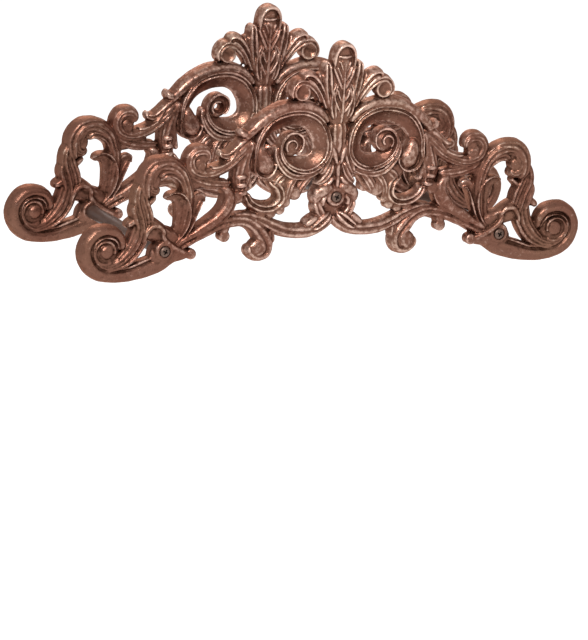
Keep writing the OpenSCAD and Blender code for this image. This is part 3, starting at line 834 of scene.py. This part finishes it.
def antique_copper(colours):
    """Cast aluminium plated in copper, with brown patina in the hollows, rubbed ridges lightened as a
    painted highlight, and painted shade that darkens both ends.
    """
    n = Nodes("antique_copper")
    patches = n.range(n.noise(260, 5, 0.7), -0.24, 0.24, from_low=0.25, from_high=0.75)
    # Painted shade: the tone darkens towards both ends, standing in for less lamp light there than in the
    # middle
    painted_shade_at_ends = n.range(n.sideways(), 0.05, -0.18, from_low=0.03, from_high=0.23)
    wear_and_painted_light = n.math("ADD", n.math("ADD", n.stored("stands_out"), patches), painted_shade_at_ends)
    # The tone runs from the patina in the hollows to rubbed copper, lightened as a painted highlight, on
    # the ridges
    tone = n.ramp(wear_and_painted_light, [(0.08, tuple(colours.recess)), (0.4, tuple(colours.copper)),
                         (0.56, tuple(colours.copper)), (0.95, tuple(colours.ridge))])
    cloud = n.ramp(n.noise(22, 4), [(0.3, (0.80, 0.66, 0.62)), (0.5, (0.92, 0.90, 0.88)),
                                    (0.7, (1.0, 1.05, 0.98))])
    n.link(n.multiply(tone, cloud), n.shader.inputs["Base Color"])
    roughness = n.range(n.noise(160, 4), 0.2, 0.46, from_low=0.3, from_high=0.7)
    n.link(roughness, n.shader.inputs["Roughness"])
    n.fill(n.shader, Metallic=0.75, Specular_IOR_Level=0.3, Specular_Tint=(0.8, 0.5, 0.4, 1))
    n.bump(n.noise(330, 5, 0.65), strength=0.45, distance=0.0009)
    return n.owner


def coated_metal(name, colour, metallic, roughness, grain, painted_recess_shade=False):
    """Metal with a fine grain and a slightly uneven gloss, and painted shade in its recesses where it
    has any.
    """
    n = Nodes(name)
    shade = n.ramp(n.noise(150, 3), [(0.3, tuple(0.8 * c for c in colour)), (0.7, tuple(colour))])
    if painted_recess_shade:
        # Painted shade: the cross recess is darkened where its stands_out mark is low
        dark = n.ramp(n.stored("stands_out"), [(0, (0.06, 0.05, 0.05)), (0.9, (1, 1, 1))])
        shade = n.multiply(shade, dark)
    n.link(shade, n.shader.inputs["Base Color"])
    n.link(n.range(n.noise(400, 2), *roughness), n.shader.inputs["Roughness"])
    n.fill(n.shader, Metallic=metallic)
    n.bump(n.noise(grain, 2), strength=0.2, distance=0.0002)
    return n.owner


class OBJECT_OT_holder_castings(bpy.types.Operator):
    """Makes the front and the back casting"""
    bl_idname = "object.holder_castings"
    bl_label = "Castings"

    def execute(self, context):
        sizes = context.scene.holder_sizes
        material = antique_copper(context.scene.holder_colours)
        relief = cast_relief(sizes)
        marks = relief_marks(relief.data)
        for name, back, is_front in (("front_casting", FRONT_HIGH.y, True), ("back_casting", 0.0, False)):
            casting = new_object(name + "_relief", relief.data.copy())
            for cutter in casting_cutters(sizes, is_front):
                cut(casting, cutter)
            trim_faces(casting, MOST_TRIANGLES)
            mark_relief(casting.data, marks)
            casting.data.transform(Matrix.Translation((0, back, 0)))
            finish_piece(casting, name, material, sharp=50)
        discard(relief)
        return {"FINISHED"}


class OBJECT_OT_holder_bars(bpy.types.Operator):
    """Makes the three hose bars"""
    bl_idname = "object.holder_bars"
    bl_label = "Hose bars"

    def execute(self, context):
        sizes = context.scene.holder_sizes
        material = coated_metal("bar_bronze", context.scene.holder_colours.bar, metallic=0.3,
                                roughness=(0.4, 0.55), grain=900)
        radius, bevel, depth = sizes.bar_d / 2, BAR_BEVEL, sizes.bore_depth
        bore = sizes.screw_d / 2 + BORE_ROOM
        end = [(0, depth), (bore, depth), (bore, 0), (radius - bevel, 0),
               (radius - bevel * 0.3, bevel * 0.3), (radius, bevel)]
        profile = [(r, BAR_LOW.y + y) for r, y in end] + [(r, BAR_HIGH.y - y) for r, y in reversed(end)]
        for place, bar in zip(PLACES, BAR_PLACES):
            node = f"hose_bar_{place}"
            thing = as_object(turned(profile, (bar.x, bar.z), segments=64), f"{node}_turned")
            finish_piece(thing, node, material, sharp=35)
        return {"FINISHED"}


def thread(core, crest, pitch, y_from, y_to):
    """A closed ridge that winds along Y round a shank, its profile in shares of the pitch."""
    bm = bmesh.new()
    turns = int((y_to - y_from) / pitch)
    profile = ((core * 0.8, -0.45), (core * 0.98, -0.45), (crest, -0.06), (crest, 0.06),
               (core * 0.98, 0.45), (core * 0.8, 0.45))
    verts = [bm.verts.new((r, y_from + share * pitch, 0)) for r, share in profile]
    edges = [bm.edges.new(pair) for pair in zip(verts, verts[1:] + verts[:1])]
    bmesh.ops.contextual_create(bm, geom=edges)
    made = bmesh.ops.spin(bm, geom=edges, cent=(0, 0, 0), axis=(0, 1, 0), angle=2 * pi * turns,
                          steps=THREAD_STEPS * turns, dvec=(0, pitch / THREAD_STEPS, 0))["geom_last"]
    bmesh.ops.contextual_create(bm, geom=[e for e in made if isinstance(e, bmesh.types.BMEdge)])
    bmesh.ops.recalc_face_normals(bm, faces=bm.faces[:])
    return bm


def cross_recess(sizes):
    """The two cutters of a cross recess whose arms taper towards the floor."""
    cutters = []
    for turn in (0, pi / 2):
        bm = bmesh.new()
        arm = bmesh.ops.create_cube(bm, size=1)["verts"]
        size = (CROSS_SPAN * sizes.head_d, sizes.cross_depth + ARM_OVER, sizes.cross_w)
        bmesh.ops.scale(bm, vec=size, verts=arm)
        bmesh.ops.scale(bm, vec=ARM_TAPER, verts=[v for v in arm if v.co.y > 0])
        middle_y = (sizes.cross_depth - ARM_OVER) / 2 - sizes.head_h
        bmesh.ops.translate(bm, vec=(0, middle_y, 0), verts=arm)
        bmesh.ops.rotate(bm, verts=arm, matrix=Matrix.Rotation(turn, 3, "Y"))
        cutters.append(as_object(bm, "cutter"))
    return cutters


def pan_screw(sizes, shank, name):
    """A pan head screw along Y: the head's underside at y = 0, the shank towards +Y."""
    r, h = sizes.head_d / 2, sizes.head_h
    crest = sizes.screw_d / 2 - THREAD_ROOM
    core = crest - sizes.thread_h
    thread_end = shank - SCREW_POINT
    profile = [(0, shank), (core * 0.7, shank), (core, thread_end), (core, 0), (r, 0), (r, -0.42 * h),
               (0.95 * r, -0.62 * h), (0.84 * r, -0.76 * h), (0.66 * r, -0.88 * h), (0.42 * r, -0.96 * h),
               (0, -h)]
    bm = turned(profile, (0, 0), segments=48)
    add(bm, thread(core, crest, sizes.thread_pitch, THREAD_START, thread_end))
    screw = as_object(bm, name)
    for cutter in cross_recess(sizes):
        cut(screw, cutter)
    shade = screw.data.attributes.new("stands_out", "FLOAT", "POINT")
    # Points inside the head are those of the cross's walls and floor, and are dark: painted shade in the
    # recess
    for vert, mark in zip(screw.data.vertices, shade.data):
        reach = Vector((vert.co.x, vert.co.z)).length
        mark.value = 0 if reach < CROSS_SPAN * r and -0.85 * h < vert.co.y < -0.1 * h else 1
    return screw


class OBJECT_OT_holder_screws(bpy.types.Operator):
    """Makes the front and the rear screws"""
    bl_idname = "object.holder_screws"
    bl_label = "Screws"

    def execute(self, context):
        sizes, colours = context.scene.holder_sizes, context.scene.holder_colours
        finish = {"metallic": 0.9, "roughness": (0.35, 0.5), "grain": 1500, "painted_recess_shade": True}
        front_steel = coated_metal("screw_bronze", colours.screw, **finish)
        rear_steel = coated_metal("screw_black", colours.rear_screw, **finish)
        for place, bar in zip(PLACES, BAR_PLACES):
            for kind, steel, slot_name in (("front", front_steel, "screw_bronze"),
                                           ("rear", rear_steel, "screw_black")):
                node = f"{kind}_screw_{place}"
                low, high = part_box(node)
                shank = high.y - low.y - sizes.head_h
                screw = pan_screw(sizes, shank, f"{node}_turned")
                if kind == "front":
                    seat, turn = low.y + sizes.head_h, Matrix.Rotation(CROSS_TURN, 4, "Y")
                else:
                    seat, turn = high.y - sizes.head_h, Matrix.Rotation(pi, 4, "Z")
                screw.data.transform(Matrix.Translation((bar.x, seat, bar.z)) @ turn)
                finish_piece(screw, node, steel, sharp=30)
        return {"FINISHED"}


# The photograph's view: angles in degrees, distance in metres, focal length and height in pixels
AZIMUTH, ELEVATION, ROLL = -27.42, 14.02, 3.87
DISTANCE = 9.663
LOOK_AT = Vector((-0.0308, -0.1545, -0.1610))
FOCAL_PX, HEIGHT_PX = 10836.9, 640
SENSOR_MM, CLIP_END = 36, 60

# Each lamp's name, place and width in metres, and power in watts, and the point that all are aimed at
LAMPS = (("key_light", (-0.85, -1.2, 1.05), 0.5, 34),
         ("fill_light", (1.1, -1.9, 0.2), 1.2, 4.4),
         ("rear_light", (0.3, 1.6, 1.3), 1.2, 12))
LAMP_AIM = Vector((0, -0.08, -0.02))
# How bright the white world lights the object, and looks to the camera
WORLD_LIGHT, WORLD_SEEN = 0.26, 1.0
# Height of the floor, half its width, and how much the camera sees it glow
FLOOR_Z, FLOOR_REACH, FLOOR_GLOW = -0.62, 20, 0.75


class OBJECT_OT_holder_stage(bpy.types.Operator):
    """Makes the pale floor, the lamps and the camera"""
    bl_idname = "object.holder_stage"
    bl_label = "Stage"

    def execute(self, context):
        scene = context.scene
        self.floor(scene.holder_colours)
        self.world(scene)
        for name, place, size, watts in LAMPS:
            self.lamp(name, place, size, watts)
        self.camera(scene)
        scene.view_settings.view_transform = "Standard"
        return {"FINISHED"}

    def floor(self, colours):
        """The pale floor, which the camera sees as nearly white."""
        bm = bmesh.new()
        bmesh.ops.create_grid(bm, x_segments=1, y_segments=1, size=FLOOR_REACH)
        bmesh.ops.translate(bm, vec=(0, 0, FLOOR_Z), verts=bm.verts)
        floor = as_object(bm, "floor")
        n = Nodes("pale_floor")
        n.fill(n.shader, Roughness=0.8, Emission_Color=(1, 1, 1, 1))
        pale = tuple(colours.floor)
        shade = n.ramp(n.noise(3, 2), [(0.3, tuple(0.98 * c for c in pale)), (0.7, pale)])
        n.link(shade, n.shader.inputs["Base Color"])
        n.link(n.range(n.seen_directly(), 0, FLOOR_GLOW), n.shader.inputs["Emission Strength"])
        floor.data.materials.append(n.owner)

    def world(self, scene):
        """The white surroundings, which light the object softly."""
        n = Nodes("studio", bpy.data.worlds, "Background")
        n.fill(n.shader, Color=(1, 1, 1, 1))
        n.link(n.range(n.seen_directly(), WORLD_LIGHT, WORLD_SEEN), n.shader.inputs["Strength"])
        scene.world = n.owner

    def lamp(self, name, place, size, watts):
        """A square lamp aimed at the middle of the holder."""
        data = bpy.data.lights.new(name, "AREA")
        data.size, data.energy = size, watts
        lamp = new_object(name, data)
        lamp.location = place
        lamp.rotation_euler = (LAMP_AIM - lamp.location).to_track_quat("-Z", "Y").to_euler()

    def camera(self, scene):
        """A camera in the photograph's place, with its turn and its focal length."""
        az, el, roll = radians(AZIMUTH), radians(ELEVATION), radians(ROLL)
        ahead = -Vector((sin(az) * cos(el), -cos(az) * cos(el), sin(el)))
        level = ahead.cross(Vector((0, 0, 1))).normalized()
        upright = level.cross(ahead)
        right = cos(roll) * level + sin(roll) * upright
        up = -sin(roll) * level + cos(roll) * upright
        data = bpy.data.cameras.new("camera")
        data.lens = FOCAL_PX * SENSOR_MM / HEIGHT_PX
        data.sensor_width = SENSOR_MM
        data.clip_end = CLIP_END
        scene.camera = new_object("camera", data)
        turn = Matrix((right, up, -ahead)).transposed().to_4x4()
        scene.camera.matrix_world = Matrix.Translation(LOOK_AT - ahead * DISTANCE) @ turn


class VIEW3D_PT_holder(bpy.types.Panel):
    """Lists the pieces, sizes and colours of the hose holder"""
    bl_label = "Hose holder"
    bl_space_type = "VIEW_3D"
    bl_region_type = "UI"
    bl_category = "Hose holder"

    def draw(self, context):
        for operator in OPERATORS:
            self.layout.operator(operator.bl_idname)
        for group in (context.scene.holder_sizes, context.scene.holder_colours):
            for name in group.__annotations__:
                self.layout.prop(group, name)


OPERATORS = (OBJECT_OT_holder_castings, OBJECT_OT_holder_bars, OBJECT_OT_holder_screws,
             OBJECT_OT_holder_stage)
CLASSES = (HolderSizes, HolderColours, *OPERATORS, VIEW3D_PT_holder)


def register():
    for cls in CLASSES:
        bpy.utils.register_class(cls)
    bpy.types.Scene.holder_sizes = PointerProperty(type=HolderSizes)
    bpy.types.Scene.holder_colours = PointerProperty(type=HolderColours)


def unregister():
    del bpy.types.Scene.holder_colours
    del bpy.types.Scene.holder_sizes
    for cls in reversed(CLASSES):
        bpy.utils.unregister_class(cls)


def main():
    register()
    bpy.ops.object.holder_castings()
    bpy.ops.object.holder_bars()
    bpy.ops.object.holder_screws()
    bpy.ops.object.holder_stage()


if __name__ == "__main__":
    main()
